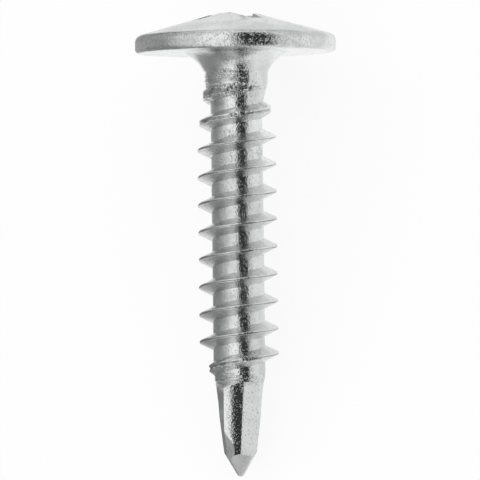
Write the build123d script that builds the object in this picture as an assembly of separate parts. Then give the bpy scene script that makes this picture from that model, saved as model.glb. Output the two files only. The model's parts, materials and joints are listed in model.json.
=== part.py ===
from build123d import *
import os
from math import atan, cos, degrees, hypot, radians, sin, sqrt, tan

# Self drilling screw with a low wafer head, a cross recess and a forged drill point.
# One piece of wire: the head is upset, the point is pinched and the thread is rolled,
# so it is one solid. Millimetres and degrees.
#
# It is modelled upright on its own axis, with the tip at the origin and the head up.
# Across is +X, and -Y is the front. Last, it is laid on its side on the floor.

# Head: a round rim wall under a low cone that ends in a rounded crown.
length_under_head = 21.9
head_diameter = 10.4
head_height = 2.1
head_slope = 15.5
crown_radius = 5.6
shoulder_radius = 0.42
rim_edge_chamfer = 0.12

# Neck and blank shank between the head and the thread.
neck_diameter = 5.36
neck_height = 1.03
neck_hollow = 0.14
shank_diameter = 3.3
shank_length = 0.52
run_in_length = 1.2

# Thread: right hand, 60 degree ridge with a narrow flat crest on a plain core.
thread_pitch = 1.414
thread_diameter = 4.1
core_diameter = 2.68
thread_angle = 60.0
crest_width = 0.1
thread_start = 5.15
thread_full_start = 6.15
thread_full_end = 17.55
thread_fade_end = 20.5
crest_phase = 6.245
root_overlap = 0.12

# Drill point: two lands half a turn apart, with a flute ahead of each.
drill_diameter = 3.16
drill_length = 4.85
lip_lead = 0.83
land_width = 1.03
land_relief = 0.21
land_crown_radius = 1.7
heel_angle = 35.0
web_thickness = 0.72
flute_length = 5.35
flute_ramp = 1.95
flute_taper = 6.9
flute_offset = 0.05
flute_end_reach = 1.5
flute_end_offset = 0.3
heel_reach = 0.69
waist_diameter = 2.4

# Tip: lips at the point angle, relieved behind, and a narrow chisel between them.
point_angle = 98.0
lip_relief = 20.0
blade_angle = 61.0
chisel_width = 0.29
gash_length = 1.84
gash_angle = 45.0
gash_reach = 1.19

# Cross recess of size 2.
recess_width = 4.4
recess_foot_width = 2.5
recess_depth = 2.0
wing_depth = 1.8
wing_thickness = 1.0
wing_foot_thickness = 0.8
recess_core_diameter = 2.4
recess_core_foot = 1.8
recess_point_angle = 120.0
recess_point_flat = 0.3
recess_turn = 24.0

# The side of the screw that faces the floor, as an angle about its axis from +X.
floor_side = 69.0
mesh_tolerance = 0.005

# How far a cut runs on beyond the metal that it meets.
cut_overrun = 1.0

head_radius = head_diameter / 2
core_radius = core_diameter / 2
thread_radius = thread_diameter / 2
shank_radius = shank_diameter / 2
drill_radius = drill_diameter / 2
head_top = length_under_head + head_height
neck_low = length_under_head - neck_height
shank_low = neck_low - shank_length
run_in_low = shank_low - run_in_length
rim_low = length_under_head + rim_edge_chamfer


def crown_edge():
    """The point where the crown's arc meets the head's cone."""
    radius = crown_radius * sin(radians(head_slope))
    return radius, head_top - crown_radius * (1 - cos(radians(head_slope)))


def head_corner():
    """The point where the head's cone would meet the rim wall if it weren't rounded."""
    radius, height = crown_edge()
    return head_radius, height - (head_radius - radius) * tan(radians(head_slope))


def body():
    """Head, neck, shank and core, revolved from half of their outline."""
    crown_r, crown_z = crown_edge()
    corner_r, corner_z = head_corner()
    reach = shoulder_radius * tan(radians(90 - head_slope) / 2)
    cone_r = corner_r - reach * cos(radians(head_slope))
    cone_z = corner_z + reach * sin(radians(head_slope))
    wall_top = corner_z - reach
    rim_flat_r = head_radius - rim_edge_chamfer
    neck_r = neck_diameter / 2
    bulge = neck_hollow / hypot(neck_r - shank_radius, neck_height)
    neck_mid = (
        (neck_r + shank_radius) / 2 - bulge * neck_height,
        (length_under_head + neck_low) / 2 + bulge * (neck_r - shank_radius),
    )
    waist_slope = (core_radius - waist_diameter / 2) / (flute_length - drill_length)
    waist_low = drill_length - root_overlap
    waist_r = waist_diameter / 2 - root_overlap * waist_slope
    outline = [
        Line((0, waist_low), (waist_r, waist_low)),
        Line((waist_r, waist_low), (core_radius, flute_length)),
        Line((core_radius, flute_length), (core_radius, run_in_low)),
        Line((core_radius, run_in_low), (shank_radius, shank_low)),
        Line((shank_radius, shank_low), (shank_radius, neck_low)),
        ThreePointArc((shank_radius, neck_low), neck_mid, (neck_r, length_under_head)),
        Line((neck_r, length_under_head), (rim_flat_r, length_under_head)),
        Line((rim_flat_r, length_under_head), (head_radius, rim_low)),
        Line((head_radius, rim_low), (head_radius, wall_top)),
        RadiusArc((head_radius, wall_top), (cone_r, cone_z), -shoulder_radius),
        Line((cone_r, cone_z), (crown_r, crown_z)),
        RadiusArc((crown_r, crown_z), (0, head_top), -crown_radius),
        Line((0, head_top), (0, waist_low)),
    ]
    return revolve(Plane.XZ * make_face(outline), Axis.Z)


def thread_blank():
    """The blank that the ridge is rolled from: its crest dives into the core at both ends."""
    start_slope = (thread_full_start - thread_start) / (thread_radius - core_radius)
    end_slope = (thread_fade_end - thread_full_end) / (thread_radius - shank_radius)
    root = core_radius - root_overlap
    outer = thread_radius + root_overlap
    lowest = thread_start - root_overlap * start_slope
    highest = thread_fade_end + root_overlap * end_slope
    outline = Polygon(
        (0, lowest),
        (root, lowest),
        (outer, thread_full_start + root_overlap * start_slope),
        (outer, thread_full_end - root_overlap * end_slope),
        (shank_radius - root_overlap, highest),
        (0, highest),
        align=None,
    )
    return revolve(Plane.XZ * outline, Axis.Z)


def thread_turns():
    """The ridge, turn by turn: its section swept along a helix and trimmed to the blank."""
    root = core_radius - root_overlap
    half_root = crest_width / 2 + (thread_radius - root) * tan(radians(thread_angle / 2))
    section = Polygon(
        (root, -half_root),
        (thread_radius, -crest_width / 2),
        (thread_radius, crest_width / 2),
        (root, half_root),
        align=None,
    )
    turn = sweep(Plane.XZ * section, Helix(thread_pitch, thread_pitch, root), is_frenet=True)
    below = int((crest_phase - thread_start) / thread_pitch) + 2
    above = int((thread_fade_end - crest_phase) / thread_pitch) + 2
    blank = thread_blank()
    turns = []
    for count in range(-below, above):
        trimmed = Pos(0, 0, crest_phase + count * thread_pitch) * turn & blank
        turns += trimmed.solids() if trimmed else []
    return turns


def land_points():
    """The lip corner and the heel side's end of the front land, as (across, towards front)."""
    lip = (-lip_lead, sqrt(drill_radius**2 - lip_lead**2))
    end_x = land_width - lip_lead
    end = (end_x, sqrt((drill_radius - land_relief) ** 2 - end_x**2))
    return lip, end


def heel_point(height):
    """The heel's corner at a height: it lies on the heel flat and draws in towards the tip."""
    x = heel_reach + height * tan(radians(flute_taper))
    end = land_points()[1]
    return x, end[1] - (x - end[0]) * tan(radians(heel_angle))


def opposite(point):
    return -point[0], -point[1]


def at_front(point):
    """A point of the plan, given across and towards the front, in the screw's own X and Y."""
    return point[0], -point[1]


def land_circle():
    """The centre of the land's arc, which passes through the lip corner and the land's end."""
    lip, end = (Vector(*point) for point in land_points())
    chord = end - lip
    sag = sqrt(land_crown_radius**2 - (chord.length / 2) ** 2)
    return (lip + end) / 2 - Vector(-chord.Y, chord.X).normalized() * sag


def drill_blank():
    """The two lands and their heel flats before the flutes are pinched."""
    centre = at_front(tuple(land_circle()))
    heel_normal = Vector(sin(radians(heel_angle)), -cos(radians(heel_angle)), 0)
    heel_distance = Vector(*at_front(land_points()[1])).dot(heel_normal)
    blank = None
    for turn in (0, 180):
        land = Pos(*centre) * Circle(land_crown_radius)
        lobe = extrude(land, drill_length + root_overlap) - half_space(heel_normal, heel_distance)
        lobe = Rot(0, 0, turn) * lobe
        blank = lobe if blank is None else blank & lobe
    top_r = waist_diameter / 2 - root_overlap
    height = drill_length + 2 * root_overlap
    top = Cone(top_r + height, top_r, height, align=(Align.CENTER, Align.CENTER, Align.MIN))
    return blank & Pos(0, 0, -root_overlap) * top


def flute():
    """The channel ahead of the front land's lip, deep at the tip, with a ramp at its end."""
    lip = land_points()[0]
    reach = drill_diameter
    ramp_start = flute_length - flute_ramp
    sections = []
    for height, bottom in (
        (-cut_overrun, (-web_thickness / 2, flute_offset)),
        (ramp_start, (-web_thickness / 2, flute_offset)),
        (flute_length, (-flute_end_reach, flute_end_offset)),
    ):
        heel = opposite(heel_point(height))
        outline = [
            lip,
            bottom,
            heel,
            (heel[0] - reach, heel[1]),
            (lip[0] - reach, lip[1]),
        ]
        sections.append(
            Pos(0, 0, height) * make_face(Polyline(*[at_front(p) for p in outline], close=True))
        )
    return loft(sections, ruled=True)


def half_space(normal, distance):
    """A block that starts at a plane, on the side that its normal points to."""
    size = 4 * drill_diameter
    plane = Plane(origin=normal * distance, z_dir=normal)
    return plane * Box(size, size, size, align=(Align.CENTER, Align.CENTER, Align.MIN))


def tip_cuts():
    """What the tip's four facets and the two lip gashes take away."""
    lip_rise = 1 / tan(radians(point_angle / 2))
    lip_facet = Vector(tan(radians(lip_relief)), -lip_rise, -1).normalized()
    blade_rise = 1 / tan(radians(blade_angle / 2))
    blade_facet = Vector(blade_rise, 0, -1).normalized()
    blade_distance = blade_facet.X * chisel_width / 2
    gash_plane = Vector(-sin(radians(gash_angle)), -cos(radians(gash_angle)), 0)
    gash = half_space(gash_plane, gash_reach) & Pos(0, 0, gash_length) * Box(
        4 * drill_diameter,
        4 * drill_diameter,
        2 * gash_length,
        align=(Align.CENTER, Align.CENTER, Align.MAX),
    )
    front = [half_space(lip_facet, 0), half_space(blade_facet, blade_distance), gash]
    return front + [Rot(0, 0, 180) * cut for cut in front]


def drill_point():
    point = drill_blank()
    for cut in tip_cuts():
        point -= cut
    return point


def recess():
    """The cross recess: two tapered wings round a tapered core that ends in a shallow point."""
    foot = head_top - recess_depth
    wing_foot = head_top - wing_depth
    grow = (recess_width - recess_foot_width) / wing_depth * cut_overrun
    thicken = (wing_thickness - wing_foot_thickness) / wing_depth * cut_overrun
    wing = loft(
        [
            Pos(0, 0, wing_foot) * Rectangle(recess_foot_width, wing_foot_thickness),
            Pos(0, 0, head_top + cut_overrun)
            * Rectangle(recess_width + grow, wing_thickness + thicken),
        ],
        ruled=True,
    )
    core_grow = (recess_core_diameter - recess_core_foot) / recess_depth * cut_overrun
    point_rise = (recess_core_foot - recess_point_flat) / 2 / tan(radians(recess_point_angle / 2))
    core = Polygon(
        (0, foot - point_rise),
        (recess_point_flat / 2, foot - point_rise),
        (recess_core_foot / 2, foot),
        ((recess_core_diameter + core_grow) / 2, head_top + cut_overrun),
        (0, head_top + cut_overrun),
        align=None,
    )
    core = revolve(Plane.XZ * core, Axis.Z)
    return Rot(0, 0, recess_turn) * (wing + Rot(0, 0, 90) * wing + core)


def upright_screw():
    screw = body() + drill_point()
    screw -= flute()
    screw -= Rot(0, 0, 180) * flute()
    screw += thread_turns()
    return screw - recess()


def rest_tilt(screw):
    """How far the axis rises to the head when the rim and the point both touch the floor."""
    down = Vector(cos(radians(floor_side)), sin(radians(floor_side)), 0)
    tilts = []
    for point in screw.tessellate(mesh_tolerance)[0]:
        run = rim_low - point.Z
        if run > length_under_head / 2:
            tilts.append(degrees(atan((head_radius - point.dot(down)) / run)))
    return min(tilts)


def laid_down(screw):
    """The screw on its side, head to +Y, on a floor at height 0 and centred over the origin."""
    screw = Rot(rest_tilt(screw) - 90, 0, 0) * Rot(0, 0, 90 - floor_side) * screw
    box = screw.bounding_box()
    return Pos(-box.center().X, -box.center().Y, -box.min.Z) * screw


os.makedirs("parts", exist_ok=True)
export_step(laid_down(upright_screw()), "parts/screw.step")
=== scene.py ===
"""Self drilling screw: its fine surfaces, zinc finish and studio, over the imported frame."""

import json
import math
from types import SimpleNamespace

import bpy
import numpy as np
from mathutils import Matrix, Vector


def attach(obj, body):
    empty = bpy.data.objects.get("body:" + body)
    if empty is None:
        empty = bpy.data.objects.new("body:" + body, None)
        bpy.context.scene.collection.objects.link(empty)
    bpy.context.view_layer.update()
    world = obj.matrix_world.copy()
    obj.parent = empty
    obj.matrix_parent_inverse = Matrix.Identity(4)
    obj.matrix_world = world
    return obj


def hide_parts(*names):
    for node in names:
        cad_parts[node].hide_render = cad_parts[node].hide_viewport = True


bl_info = {
    "name": "Self Drilling Screw",
    "version": (1, 0, 0),
    "blender": (4, 5, 0),
    "location": "3D View > Sidebar > Screw",
    "description": "Dresses a wafer head self drilling screw in zinc plated steel",
    "category": "Object",
}

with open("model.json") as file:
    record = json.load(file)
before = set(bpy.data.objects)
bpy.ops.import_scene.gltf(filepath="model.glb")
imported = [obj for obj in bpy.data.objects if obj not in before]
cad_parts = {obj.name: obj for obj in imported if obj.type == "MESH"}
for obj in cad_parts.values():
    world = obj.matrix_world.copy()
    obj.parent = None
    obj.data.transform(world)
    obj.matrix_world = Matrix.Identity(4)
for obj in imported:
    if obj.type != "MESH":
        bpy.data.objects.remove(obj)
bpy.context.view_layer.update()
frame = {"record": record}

NODE = "screw"
MM = 0.001


# ---------------------------------------------------------------- sizes


def length(name, description, default):
    """A length given in millimetres and stored in metres."""
    return bpy.props.FloatProperty(
        name=name,
        description=description,
        default=default * MM,
        min=0.0,
        precision=5,
        subtype="DISTANCE",
        unit="LENGTH",
    )


def angle(name, description, default):
    """An angle given in degrees and stored in radians."""
    return bpy.props.FloatProperty(
        name=name,
        description=description,
        default=math.radians(default),
        subtype="ANGLE",
        unit="ROTATION",
    )


class HeadSizes(bpy.types.PropertyGroup):
    """Head, neck and blank shank."""

    length_under_head: length("Length under head", "From the tip to the head's underside", 21.9)
    head_diameter: length("Head diameter", "Over the rim", 10.4)
    head_height: length("Head height", "From the underside to the top of the crown", 2.1)
    head_slope: angle("Head slope", "Of the cone under the crown", 15.5)
    crown_radius: length("Crown radius", "Of the rounded top", 5.6)
    shoulder_radius: length("Shoulder radius", "Between the cone and the rim wall", 0.42)
    rim_edge: length("Rim edge", "Width of the rim's rounded lower edge", 0.22)
    neck_diameter: length("Neck diameter", "Where the neck meets the head", 5.36)
    neck_height: length("Neck height", "From the shank to the head", 1.03)
    neck_hollow: length("Neck hollow", "Depth of the neck's hollow outline", 0.14)
    shank_diameter: length("Shank diameter", "Of the blank shank", 3.3)
    shank_length: length("Shank length", "Of the blank shank", 0.52)
    run_in_length: length("Run in", "Of the cone between core and shank", 1.2)
    recess_width: length("Recess width", "Across the wings at the mouth", 4.4)
    recess_foot_width: length("Recess foot width", "Across the wings at their foot", 2.5)
    recess_depth: length("Recess depth", "To the foot of the core", 2.0)
    wing_depth: length("Wing depth", "To the foot of the wings", 1.8)
    wing_thickness: length("Wing thickness", "At the mouth", 1.0)
    wing_foot_thickness: length("Wing foot thickness", "At the foot", 0.8)
    recess_core: length("Recess core", "Diameter of the recess's core at the mouth", 2.4)
    recess_core_foot: length("Recess core foot", "Diameter of the core at its foot", 1.8)
    recess_turn: angle("Recess turn", "Of the wings from the screw's across", 24.0)


class ThreadSizes(bpy.types.PropertyGroup):
    """Rolled thread."""

    pitch: length("Pitch", "Rise of one turn", 1.414)
    diameter: length("Diameter", "Over the crests", 4.1)
    core_diameter: length("Core diameter", "Between the turns", 2.68)
    tip_flank: angle("Tip flank", "Of the ridge's side that faces the tip", 27.5)
    head_flank: angle("Head flank", "Of the ridge's side that faces the head", 24.0)
    tip_round: length("Tip round", "Width of the crest's rounding on the tip's side", 0.05)
    head_round: length("Head round", "Width of the crest's rounding on the head's side", 0.11)
    start: length("Start", "Height where the ridge leaves the core", 5.15)
    start_nudge: length("Start nudge", "How far the ridge strays to the head where it starts", 0.13)
    full_start: length("Full start", "Height where the ridge is full", 6.15)
    full_end: length("Full end", "Height where the ridge starts to fade", 17.55)
    fade_end: length("Fade end", "Height where the ridge has faded", 20.5)
    phase: length("Phase", "Height of a crest on the across side", 6.245)
    seam: length("Seam", "Depth of the fold that rolling leaves in the crest", 0.03)
    torn_width: length("Torn width", "Extra width of the ridge where it isn't full", 0.22)
    raggedness: length("Raggedness", "How far the rolled crest strays", 0.02)


class DrillSizes(bpy.types.PropertyGroup):
    """Forged drill point."""

    diameter: length("Diameter", "Over the lips", 3.16)
    drill_length: length("Length", "From the tip to the waist", 4.85)
    lip_lead: length("Lip lead", "Of a lip ahead of the axis, across", 0.83)
    land_width: length("Land width", "Across", 1.07)
    land_relief: length("Land relief", "Drop of the land behind its lip", 0.31)
    land_crown: length("Land crown", "Radius of the land's arc", 1.93)
    heel_angle: angle("Heel angle", "Of the heel flats", 35.0)
    web: length("Web", "Thickness between the flutes", 0.72)
    flute_length: length("Flute length", "From the tip to the ramp's end", 5.35)
    flute_ramp: length("Flute ramp", "Length of the ramp that ends a flute", 1.95)
    flute_taper: angle("Flute taper", "Of the heel edge along the drill", 6.9)
    flute_offset: length("Flute offset", "Of the flute's bottom, ahead of the middle", 0.05)
    flute_end_reach: length("Flute end reach", "Where the ramp's bottom ends, across", 1.5)
    flute_end_offset: length("Flute end offset", "Where the ramp's bottom ends, ahead", 0.3)
    heel_draft: length("Heel draft", "How much nearer the axis the heel flats lie at the tip", 0.09)
    heel_reach: length("Heel reach", "Of the heel's corner at the tip, across", 0.69)
    waist: length("Waist", "Diameter above the drill", 2.58)
    point: angle("Point", "Full angle between the lips", 98.0)
    lip_relief: angle("Lip relief", "Slope behind a lip", 20.0)
    blade: angle("Blade", "Full angle of the tip's side facets", 61.0)
    chisel: length("Chisel", "Width of the tip's edge", 0.22)
    gash_length: length("Gash length", "Of the cut behind each lip", 2.45)
    gash_middle: length("Gash middle", "Height where the cut's face has its angle", 0.92)
    gash_angle: angle("Gash angle", "Of that cut's face", 45.0)
    gash_lean: angle("Gash lean", "How far that face turns towards the front up its height", 26.0)
    gash_exit: length("Gash exit", "Height over which the cutter left the steel", 1.35)
    edge_round: length("Edge round", "Of the edges between the tip's facets", 0.065)
    gash_reach: length("Gash reach", "Of that cut's face from the axis", 1.245)


class FinishSettings(bpy.types.PropertyGroup):
    """Colour and texture of the plating."""

    zinc: bpy.props.FloatVectorProperty(
        name="Zinc", description="Colour of clean plating", size=3, subtype="COLOR",
        min=0.0, max=1.0, default=(0.80, 0.81, 0.805),
    )
    # The stain colour also paints the shade in the thread crest's fold
    stain: bpy.props.FloatVectorProperty(
        name="Stain", description="Colour in pits and scuffs", size=3, subtype="COLOR",
        min=0.0, max=1.0, default=(0.40, 0.41, 0.41),
    )


def plain(group):
    """A group's sizes as plain numbers: lengths in millimetres, and angles in radians."""
    sizes = SimpleNamespace()
    for key, size in group.bl_rna.properties.items():
        if size.type == "FLOAT" and not size.is_array:
            value = getattr(group, key)
            setattr(sizes, key, round(value / MM, 5) if size.unit == "LENGTH" else value)
    return sizes


# ---------------------------------------------------------------- frame and mesh helpers

# The side of the screw that faces the floor, as an angle round the axis from its across.
FLOOR_SIDE = math.radians(69)

# Edges between faces that meet at more than this angle stay sharp.
SHARP_ANGLE = math.radians(28)


def own_axes():
    """The tip, and the screw's across, back and head directions, in the row frame.

    The drill point's mount gives the tip and the axis, and FLOOR_SIDE the roll about it.
    """
    mounts = {m["name"]: m for m in frame["record"]["mounts"]}
    tip = np.array(mounts["drill_point"]["pos_m"])
    head = -np.array(mounts["drill_point"]["axis"], float)
    head /= np.linalg.norm(head)
    down = np.array([0.0, 0.0, -1.0])
    down -= head * (down @ head)
    down /= np.linalg.norm(down)
    aside = np.cross(head, down)
    across = math.cos(FLOOR_SIDE) * down - math.sin(FLOOR_SIDE) * aside
    back = math.sin(FLOOR_SIDE) * down + math.cos(FLOOR_SIDE) * aside
    return tip, across, back, head


TIP, ACROSS, BACK, HEAD = own_axes()


def place(points):
    """Points in millimetres on the screw's own axes, turned and moved into the row frame."""
    basis = np.stack([ACROSS, BACK, HEAD])
    return TIP + points.reshape(-1, 3) @ basis * MM


def tube_faces(rows, columns):
    """The point numbers of a grid that closes round its columns, and the faces of its side."""
    at = np.arange(rows * columns).reshape(rows, columns)
    after = np.roll(at, -1, axis=1)
    sides = np.stack([at[:-1], at[1:], after[1:], after[:-1]], axis=-1).reshape(-1, 4)
    return at, sides.tolist()


def polar_piece(name, theta, radius, height, material):
    """A closed surface round the axis: point (row, column) lies at radius and height at theta.

    Rows run from the head's end to the tip's end. Each end is closed by a point on the axis.
    """
    rows, columns = radius.shape
    grid = np.stack([radius * np.cos(theta), radius * np.sin(theta), height], axis=-1)
    ends = np.array([[0, 0, height[0].mean()], [0, 0, height[-1].mean()]])
    points = np.concatenate([grid.reshape(-1, 3), ends])
    at, sides = tube_faces(rows, columns)
    after = np.roll(at, -1, axis=1)
    first = np.full(columns, rows * columns)
    top = np.stack([first, at[0], after[0]], axis=-1)
    low = np.stack([first + 1, after[-1], at[-1]], axis=-1)
    return finish_piece(name, points, sides + top.tolist() + low.tolist(), material)


def finish_piece(name, points, faces, material):
    """Makes the mesh in the row frame, shades it smooth up to an angle, and lets it ride."""
    mesh = bpy.data.meshes.new(name)
    mesh.from_pydata(place(points).tolist(), [], faces)
    mesh.validate()
    mesh.shade_smooth()
    mesh.set_sharp_from_angle(angle=SHARP_ANGLE)
    piece = bpy.data.objects.new(name, mesh)
    bpy.context.scene.collection.objects.link(piece)
    piece.data.materials.append(material)
    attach(piece, "root")
    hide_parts(NODE)
    return piece


def arc(centre, radius, start, end, count):
    """Points on a circle between two angles in degrees, as rows of (radius, height)."""
    turn = np.radians(np.linspace(start, end, count))
    return np.stack([centre[0] + radius * np.cos(turn), centre[1] + radius * np.sin(turn)], -1)


def run(start, end, count):
    """Evenly spaced points of a straight line, without its last."""
    return np.linspace(start, end, count + 1)[:-1]


# ---------------------------------------------------------------- head, neck and shank

# Height where the core ends, just inside the top of the drill.
CORE_END = 5.36

# Full angle of the cone at the foot of the recess.
RECESS_POINT = math.radians(120)

# The rounded edge of the recess's mouth: its width, and rows as (share of the width outwards,
# share of it downwards).
MOUTH_EDGE = 0.035
MOUTH_ROUND = ((0.25, 0.56), (0.6, 0.2), (1.2, 0.0))

# How far beyond the wings the crown's rows still follow the mouth.
CROWN_BAND = 0.3

# Height of the lip round the mouth, as (across the screw, height).
MOUTH_LIP = (
    (-1.9, 0.0), (-1.2, 0.02), (-0.7, 0.045), (-0.45, 0.07), (-0.28, 0.085), (-0.12, 0.04),
    (0.0, 0.025), (0.13, 0.04), (0.28, 0.1), (0.44, 0.127), (0.59, 0.12), (0.68, 0.05),
    (0.88, 0.0), (1.06, 0.02), (1.2, 0.0), (1.37, 0.07), (1.68, 0.1), (2.0, 0.1), (2.3, 0.07),
    (2.6, 0.0),
)
LIP_REACH = 0.3

# Rough lines round the steel: from which height to which, and how deep.
NECK_SCUFFS = (20.15, 20.95, 0.05)
DRILL_SCUFFS = (4.5, 5.34, 0.045)
SCUFF_END = 0.12
SCUFF_SIDE = math.radians(225)
SCUFF_WAVES = ((24, 2, 0.3), (37, -3, 2.1), (58, 5, 4.4), (90, -2, 1.2))


def head_corner(s):
    """Where the crown meets the cone, and where the cone would meet the rim wall."""
    top = s.length_under_head + s.head_height
    crown_r = s.crown_radius * math.sin(s.head_slope)
    crown_z = top - s.crown_radius * (1 - math.cos(s.head_slope))
    rim = s.head_diameter / 2
    return (crown_r, crown_z), (rim, crown_z - (rim - crown_r) * math.tan(s.head_slope))


def cross_outline(theta, half_width, half_thickness, core):
    """Distance from the axis to a cross: the furthest of a round core and two crossed bars."""
    reach = np.full(theta.shape, core)
    for turn in (0.0, math.pi / 2):
        c, s = np.abs(np.cos(theta - turn)), np.abs(np.sin(theta - turn))
        bar = np.minimum(half_width / np.maximum(c, 1e-9), half_thickness / np.maximum(s, 1e-9))
        reach = np.maximum(reach, bar)
    return reach


def recess_columns(s):
    """Column angles: evenly spread, with pairs at the wing corners so their edges stay crisp."""
    half_w, half_t, core = s.recess_width / 2, s.wing_thickness / 2, s.recess_core / 2
    tip_corner = math.atan2(half_t, half_w)
    root_corner = math.asin(half_t / core)
    keys = []
    for quarter in range(4):
        base = quarter * math.pi / 2
        keys += [base + k for k in (tip_corner, root_corner)]
        keys += [base + math.pi / 2 - k for k in (root_corner, tip_corner)]
    keys = np.array(sorted(keys))
    spans = np.diff(np.append(keys, keys[0] + 2 * math.pi))
    counts = np.maximum(np.round(spans / math.radians(2.2)).astype(int), 5)
    return np.concatenate([k + np.arange(n) * w / n for k, n, w in zip(keys, counts, spans)])


def crown_height(s, radius):
    """Height of the crown's sphere over the axis distance."""
    top = s.length_under_head + s.head_height
    return top - s.crown_radius + np.sqrt(s.crown_radius**2 - radius**2)


def raised_edge(theta, radius, mouth):
    """How far punching the recess has raised the crown: a lip round the mouth on the front
    half, with its own height along the across direction, that dies out over LIP_REACH."""
    x, back = radius * np.cos(theta), radius * np.sin(theta)
    lift = np.interp(x, *zip(*MOUTH_LIP))
    front = np.clip(0.35 - back / 0.8, 0, 1)
    return lift * front * np.exp(-((np.maximum(radius - mouth, 0) / LIP_REACH) ** 2))


def scuffed(radius, theta, height, scuffs):
    """Rough lines round the steel between two heights: the radius strays by a sum of sines
    that wanders slowly round the axis and fast along it, strongest on the front's left."""
    low, high, depth = scuffs
    window = np.clip((height - low) / SCUFF_END, 0, 1) * np.clip((high - height) / SCUFF_END, 0, 1)
    window = window * np.clip(3 * np.cos(theta - SCUFF_SIDE) - 1, 0.12, 1)
    wave = np.zeros(radius.shape)
    for pace, turns, phase in SCUFF_WAVES:
        wave += np.sin(height * pace + np.sin(theta * turns + phase) * 2.2 + phase)
    return radius + depth * window * (wave / 4 - 0.6)


def recess_rows(s, theta, mouth):
    """Rows of the recess: its pointed foot, the flat foot of the wings, and its walls."""
    top = s.length_under_head + s.head_height
    foot_z, wing_z = top - s.recess_depth, top - s.wing_depth
    point_z = foot_z - s.recess_core_foot / 2 / math.tan(RECESS_POINT / 2)
    core_foot = np.full(theta.shape, s.recess_core_foot / 2)
    wing_foot = cross_outline(
        theta, s.recess_foot_width / 2, s.wing_foot_thickness / 2,
        s.recess_core_foot / 2 + (s.recess_core - s.recess_core_foot) / 2 * 0.1,
    )
    inner = np.minimum(core_foot * 1.02, wing_foot)
    rows = [(core_foot * share, np.full(theta.shape, point_z + (foot_z - point_z) * share))
            for share in (0.08, 0.5, 1.0)]
    rows += [(ring, np.full(theta.shape, wing_z))
             for ring in (inner, (inner + wing_foot) / 2, wing_foot)]
    mouth_z = crown_height(s, mouth) + raised_edge(theta + s.recess_turn, mouth, mouth)
    rows += [(wing_foot + (mouth - wing_foot) * share, wing_z + (mouth_z - wing_z) * share)
             for share in (0.03, 0.5, 0.96)]
    return rows


def crown_rows(s, theta, mouth):
    """Rows of the crown: the mouth's rounded edge, then rings that turn from a cross round."""
    (crown_r, crown_z), _ = head_corner(s)
    rows = []
    for out, down in MOUTH_ROUND:
        ring = mouth + MOUTH_EDGE * out
        rows.append((ring, crown_height(s, ring) - MOUTH_EDGE * down
                     + raised_edge(theta + s.recess_turn, ring, mouth)))
    inner, outer = mouth + MOUTH_EDGE * MOUTH_ROUND[-1][0], s.recess_width / 2 + CROWN_BAND
    for share in (0.1, 0.3, 0.6, 1.0):
        ring = inner + (outer - inner) * share
        cone = crown_z - (ring - crown_r) * math.tan(s.head_slope)
        top = np.where(ring < crown_r, crown_height(s, np.minimum(ring, crown_r)), cone)
        rows.append((ring, top + raised_edge(theta + s.recess_turn, ring, mouth)))
    return rows


def turned_outline(s, t):
    """Rows of (radius, height) of what is round: cone, rim, underside, neck, shank and core."""
    (crown_r, crown_z), (rim, corner_z) = head_corner(s)
    slope = math.degrees(s.head_slope)
    reach = s.shoulder_radius * math.tan(math.radians(90 - slope) / 2)
    centre = (rim - s.shoulder_radius, corner_z - reach)
    cone_end = (rim - reach * math.cos(s.head_slope), corner_z + reach * math.sin(s.head_slope))
    start_r = s.recess_width / 2 + CROWN_BAND + 0.25
    start = (start_r, crown_z - (start_r - crown_r) * math.tan(s.head_slope))
    low = s.length_under_head
    neck_low = low - s.neck_height
    shank_low = neck_low - s.shank_length
    core_top = shank_low - s.run_in_length
    neck_r, shank_r, core_r = s.neck_diameter / 2, s.shank_diameter / 2, t.core_diameter / 2
    along = np.linspace(0, 1, 16)[:, None]
    chord = np.array([shank_r - neck_r, -s.neck_height])
    normal = np.array([-s.neck_height, neck_r - shank_r]) / np.hypot(*chord)
    neck = np.array([neck_r, low]) + along * chord + 4 * s.neck_hollow * along * (1 - along) * normal
    return np.concatenate([
        run(start, cone_end, 8),
        arc(centre, s.shoulder_radius, 90 - slope, 0, 12),
        run((rim, corner_z - reach - 0.02), (rim, low + s.rim_edge + 0.01), 8),
        arc((rim - s.rim_edge, low + s.rim_edge), s.rim_edge, 0, -90, 7),
        run((rim - s.rim_edge - 0.01, low), (neck_r + 0.02, low), 10),
        neck,
        run((shank_r, neck_low - 0.01), (shank_r, shank_low + 0.01), 26),
        run((shank_r, shank_low), (core_r, core_top), 14),
        run((core_r, core_top), (core_r, CORE_END), 160),
        np.array([[core_r, CORE_END], [core_r * 0.5, CORE_END]]),
    ])


def head_rows(s, t):
    """Angle, radius and height of the rows from the recess's foot to the end of the core."""
    theta = recess_columns(s)
    mouth = cross_outline(theta, s.recess_width / 2, s.wing_thickness / 2, s.recess_core / 2)
    rows = recess_rows(s, theta, mouth) + crown_rows(s, theta, mouth)
    rows += [(np.full(theta.shape, r), np.full(theta.shape, z)) for r, z in turned_outline(s, t)]
    radius, height = (np.stack(part) for part in zip(*rows))
    theta = theta + s.recess_turn
    return theta, scuffed(radius, theta, height, NECK_SCUFFS), height


# ---------------------------------------------------------------- thread

# Sections in one turn, how deep the ridge is rooted in the core, and a section's points on each
# side as shares of the crest's height.
TURN_SECTIONS = 260
RIDGE_ROOT = 0.12
SIDE_SHARES = (0.0, 0.3, 0.6, 0.78, 0.88, 0.94, 0.975, 0.992)

# The fold in the crest, as (share of the crest's width, share of the fold's depth). The second
# share also sets how dark that point is painted, as painted shade in the fold.
CREST_FOLD = ((0.14, 0.05), (0.30, 0.6), (0.48, 1.0), (0.66, 0.6), (0.84, 0.05))


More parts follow.
